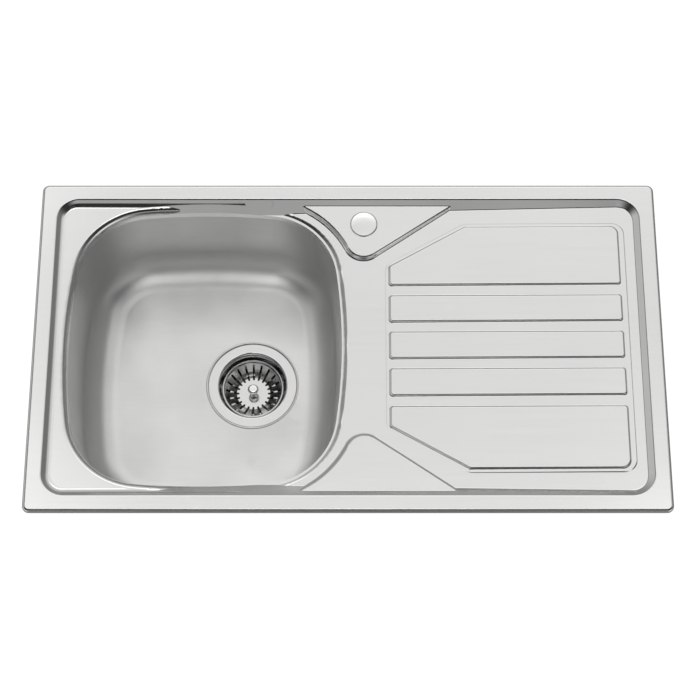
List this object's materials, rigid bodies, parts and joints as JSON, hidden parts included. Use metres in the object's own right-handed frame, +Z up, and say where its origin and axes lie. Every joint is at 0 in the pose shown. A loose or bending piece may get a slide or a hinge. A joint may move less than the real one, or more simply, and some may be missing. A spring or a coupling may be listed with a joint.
{
  "type": "kitchen sink with drainboard",
  "caption": "Inset stainless steel kitchen sink with a bowl, a ribbed drainer, a closed tap hole, a basket strainer waste and swinging fixing clips.",
  "frame": {"origin": "centre of the rim's outline, on the worktop plane where the rim seal rests", "axes": "+X along the length towards the drainer, +Y to the back where the tap stands, +Z up out of the bowl"},
  "size_m": [0.78, 0.435, 0.238],
  "materials": {
    "deck_steel": "bright rolled stainless steel, smooth",
    "bowl_steel": "satin stainless steel with a fine circular scratch",
    "polished_steel": "polished stainless steel",
    "knob_chrome": "bright chrome",
    "galvanised": "galvanised steel sheet",
    "screw_zinc": "zinc-plated steel",
    "seal_rubber": "black rubber",
    "foam": "closed-cell foam rubber",
    "pad_bitumen": "grey damping sheet",
    "waste_plastic": "white polypropylene",
    "clip_plastic": "grey acetal"
  },
  "bodies": {
    "sink": {"deck": "deck_steel", "bowl": "bowl_steel", "rim_seal": "foam", "bowl_damping_pad": "pad_bitumen", "clip_lugs": "galvanised", "clip_pins": "screw_zinc", "strainer_flange": "polished_steel", "flange_gasket": "seal_rubber", "lower_gasket": "seal_rubber", "waste_body": "waste_plastic", "waste_screw": "polished_steel"},
    "basket_clip": {"stem_clip": "clip_plastic"},
    "basket": {"strainer_basket": "polished_steel", "basket_knob": "knob_chrome", "basket_stem": "polished_steel", "basket_seal": "seal_rubber", "seal_retainer": "polished_steel"},
    "tap_blank": {"tap_hole_blank": "deck_steel"},
    "clip_1": {"clip_arm_1": "galvanised"},
    "clamp_screw_1": {"clip_screw_1": "screw_zinc"},
    "clip_2": {"clip_arm_2": "galvanised"},
    "clamp_screw_2": {"clip_screw_2": "screw_zinc"},
    "clip_3": {"clip_arm_3": "galvanised"},
    "clamp_screw_3": {"clip_screw_3": "screw_zinc"},
    "clip_4": {"clip_arm_4": "galvanised"},
    "clamp_screw_4": {"clip_screw_4": "screw_zinc"},
    "clip_5": {"clip_arm_5": "galvanised"},
    "clamp_screw_5": {"clip_screw_5": "screw_zinc"},
    "clip_6": {"clip_arm_6": "galvanised"},
    "clamp_screw_6": {"clip_screw_6": "screw_zinc"},
    "clip_7": {"clip_arm_7": "galvanised"},
    "clamp_screw_7": {"clip_screw_7": "screw_zinc"},
    "clip_8": {"clip_arm_8": "galvanised"},
    "clamp_screw_8": {"clip_screw_8": "screw_zinc"}
  },
  "joints": [
    {"name": "basket_turn", "type": "hinge", "parent": "sink", "child": "basket_clip", "pos_m": [-0.125, 0, -0.184], "axis": [0, 0, 1], "continuous": true},
    {"name": "basket_lift", "type": "slide", "parent": "basket_clip", "child": "basket", "axis": [0, 0, 1], "range_m": [0, 0.12]},
    {"name": "tap_blank_lift", "type": "slide", "parent": "sink", "child": "tap_blank", "axis": [0, 0, 1], "range_m": [0, 0.04]},
    {"name": "clip_swing_1", "type": "hinge", "parent": "sink", "child": "clip_1", "pos_m": [-0.325, -0.2013, -0.007], "axis": [-1, 0, 0], "range_deg": [0, 35]},
    {"name": "clip_screw_travel_1", "type": "slide", "parent": "clip_1", "child": "clamp_screw_1", "axis": [0, -0.5736, 0.8192], "range_m": [0, 0.015]},
    {"name": "clip_swing_2", "type": "hinge", "parent": "sink", "child": "clip_2", "pos_m": [0.02, -0.2013, -0.007], "axis": [-1, 0, 0], "range_deg": [0, 35]},
    {"name": "clip_screw_travel_2", "type": "slide", "parent": "clip_2", "child": "clamp_screw_2", "axis": [0, -0.5736, 0.8192], "range_m": [0, 0.015]},
    {"name": "clip_swing_3", "type": "hinge", "parent": "sink", "child": "clip_3", "pos_m": [0.3, -0.2013, -0.007], "axis": [-1, 0, 0], "range_deg": [0, 35]},
    {"name": "clip_screw_travel_3", "type": "slide", "parent": "clip_3", "child": "clamp_screw_3", "axis": [0, -0.5736, 0.8192], "range_m": [0, 0.015]},
    {"name": "clip_swing_4", "type": "hinge", "parent": "sink", "child": "clip_4", "pos_m": [-0.325, 0.2013, -0.007], "axis": [1, 0, 0], "range_deg": [0, 35]},
    {"name": "clip_screw_travel_4", "type": "slide", "parent": "clip_4", "child": "clamp_screw_4", "axis": [0, 0.5736, 0.8192], "range_m": [0, 0.015]},
    {"name": "clip_swing_5", "type": "hinge", "parent": "sink", "child": "clip_5", "pos_m": [0.075, 0.2013, -0.007], "axis": [1, 0, 0], "range_deg": [0, 35]},
    {"name": "clip_screw_travel_5", "type": "slide", "parent": "clip_5", "child": "clamp_screw_5", "axis": [0, 0.5736, 0.8192], "range_m": [0, 0.015]},
    {"name": "clip_swing_6", "type": "hinge", "parent": "sink", "child": "clip_6", "pos_m": [0.3, 0.2013, -0.007], "axis": [1, 0, 0], "range_deg": [0, 35]},
    {"name": "clip_screw_travel_6", "type": "slide", "parent": "clip_6", "child": "clamp_screw_6", "axis": [0, 0.5736, 0.8192], "range_m": [0, 0.015]},
    {"name": "clip_swing_7", "type": "hinge", "parent": "sink", "child": "clip_7", "pos_m": [-0.3738, 0, -0.007], "axis": [0, 1, 0], "range_deg": [0, 25]},
    {"name": "clip_screw_travel_7", "type": "slide", "parent": "clip_7", "child": "clamp_screw_7", "axis": [-0.4226, 0, 0.9063], "range_m": [0, 0.015]},
    {"name": "clip_swing_8", "type": "hinge", "parent": "sink", "child": "clip_8", "pos_m": [0.3738, 0, -0.007], "axis": [0, -1, 0], "range_deg": [0, 35]},
    {"name": "clip_screw_travel_8", "type": "slide", "parent": "clip_8", "child": "clamp_screw_8", "axis": [0.5736, 0, 0.8192], "range_m": [0, 0.015]}
  ]
}
